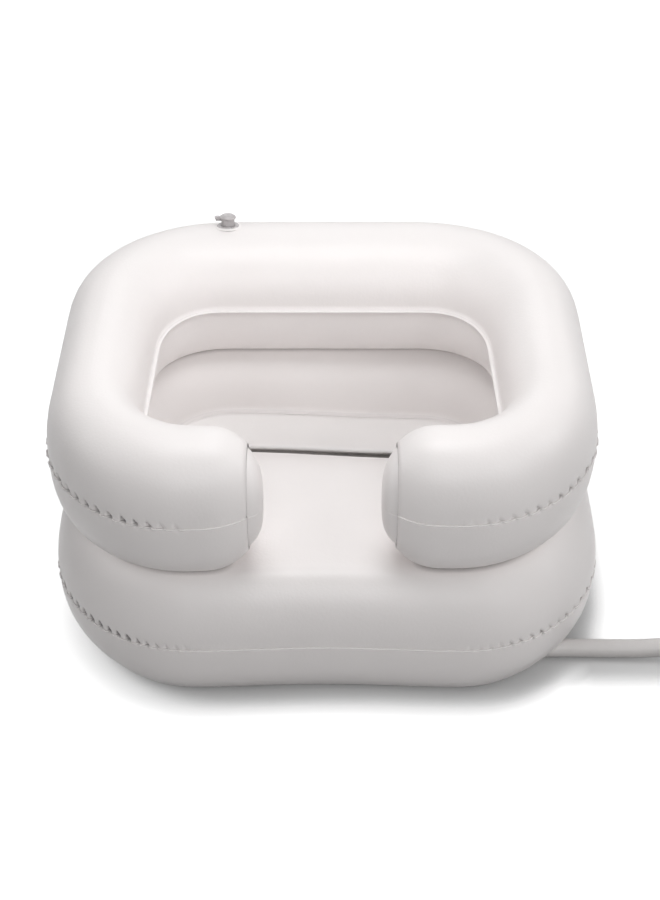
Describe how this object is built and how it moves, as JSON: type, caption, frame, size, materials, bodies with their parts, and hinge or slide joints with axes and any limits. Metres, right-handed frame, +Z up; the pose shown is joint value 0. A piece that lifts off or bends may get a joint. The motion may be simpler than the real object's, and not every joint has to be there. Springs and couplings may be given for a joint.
{
  "type": "portable shampoo basin",
  "caption": "Inflatable hair-washing basin: stacked air rings with a neck gap, a cushion, a film floor with a drain, air valves and a hose with a slide clamp.",
  "frame": {"origin": "middle of the underside of the lower ring, on the surface that the basin stands on; the middle is that of the rings' outer welds", "axes": "+X to the right as seen from the neck gap, +Y from the neck gap to the back, +Z up"},
  "size_m": [0.9745, 0.581, 0.3067],
  "materials": {
    "ring_vinyl": "soft satin vinyl film, white",
    "floor_vinyl": "soft satin vinyl film, white",
    "hose_vinyl": "soft vinyl tube, off-white",
    "moulded": "moulded, white",
    "valve_vinyl": "translucent grey vinyl"
  },
  "bodies": {
    "basin": {"lower_ring": "ring_vinyl", "upper_ring": "ring_vinyl", "left_end_cap": "ring_vinyl", "right_end_cap": "ring_vinyl", "basin_floor": "floor_vinyl", "drain_flange": "moulded", "drain_strainer": "moulded", "drain_nut": "moulded", "drain_elbow": "moulded", "hose_under_basin": "hose_vinyl", "drain_hose": "hose_vinyl", "hose_pinch_section": "hose_vinyl", "drain_hose_lead": "hose_vinyl", "drain_hose_coil": "hose_vinyl", "coil_tie": "moulded", "upper_valve_base": "ring_vinyl", "lower_valve_base": "ring_vinyl"},
    "clamp": {"hose_slide_clamp": "moulded"},
    "upper_stem": {"upper_valve_stem": "valve_vinyl"},
    "upper_cap": {"upper_valve_cap": "valve_vinyl"},
    "upper_flap": {"upper_valve_flap": "valve_vinyl"},
    "lower_stem": {"lower_valve_stem": "valve_vinyl"},
    "lower_cap": {"lower_valve_cap": "valve_vinyl"},
    "lower_flap": {"lower_valve_flap": "valve_vinyl"}
  },
  "joints": [
    {"name": "clamp_slide", "type": "slide", "parent": "basin", "child": "clamp", "axis": [0, -1, 0], "range_m": [0, 0.02], "deforming": ["hose_pinch_section"]},
    {"name": "upper_stem_slide", "type": "slide", "parent": "basin", "child": "upper_stem", "axis": [0, 0.1279, 0.9918], "range_m": [-0.0058, 0]},
    {"name": "upper_cap_hinge", "type": "hinge", "parent": "upper_stem", "child": "upper_cap", "pos_m": [-0.1327, 0.22764, 0.30048], "axis": [0, -0.9918, 0.1279], "range_deg": [0, 150]},
    {"name": "upper_flap_hinge", "type": "hinge", "parent": "upper_stem", "child": "upper_flap", "pos_m": [-0.1238, 0.22613, 0.28873], "axis": [0, 0.9918, -0.1279], "range_deg": [0, 55], "stiffness_Nm_per_rad": 0.0002, "springref_deg": -17.19},
    {"name": "lower_stem_slide", "type": "slide", "parent": "basin", "child": "lower_stem", "axis": [0, 0.7993, 0.601], "range_m": [-0.0058, 0]},
    {"name": "lower_cap_hinge", "type": "hinge", "parent": "lower_stem", "child": "lower_cap", "pos_m": [-0.1327, 0.27799, 0.12953], "axis": [0, -0.601, 0.7993], "range_deg": [0, 150]},
    {"name": "lower_flap_hinge", "type": "hinge", "parent": "lower_stem", "child": "lower_flap", "pos_m": [-0.1238, 0.26852, 0.12241], "axis": [0, 0.601, -0.7993], "range_deg": [0, 55], "stiffness_Nm_per_rad": 0.0002, "springref_deg": -17.19}
  ]
}
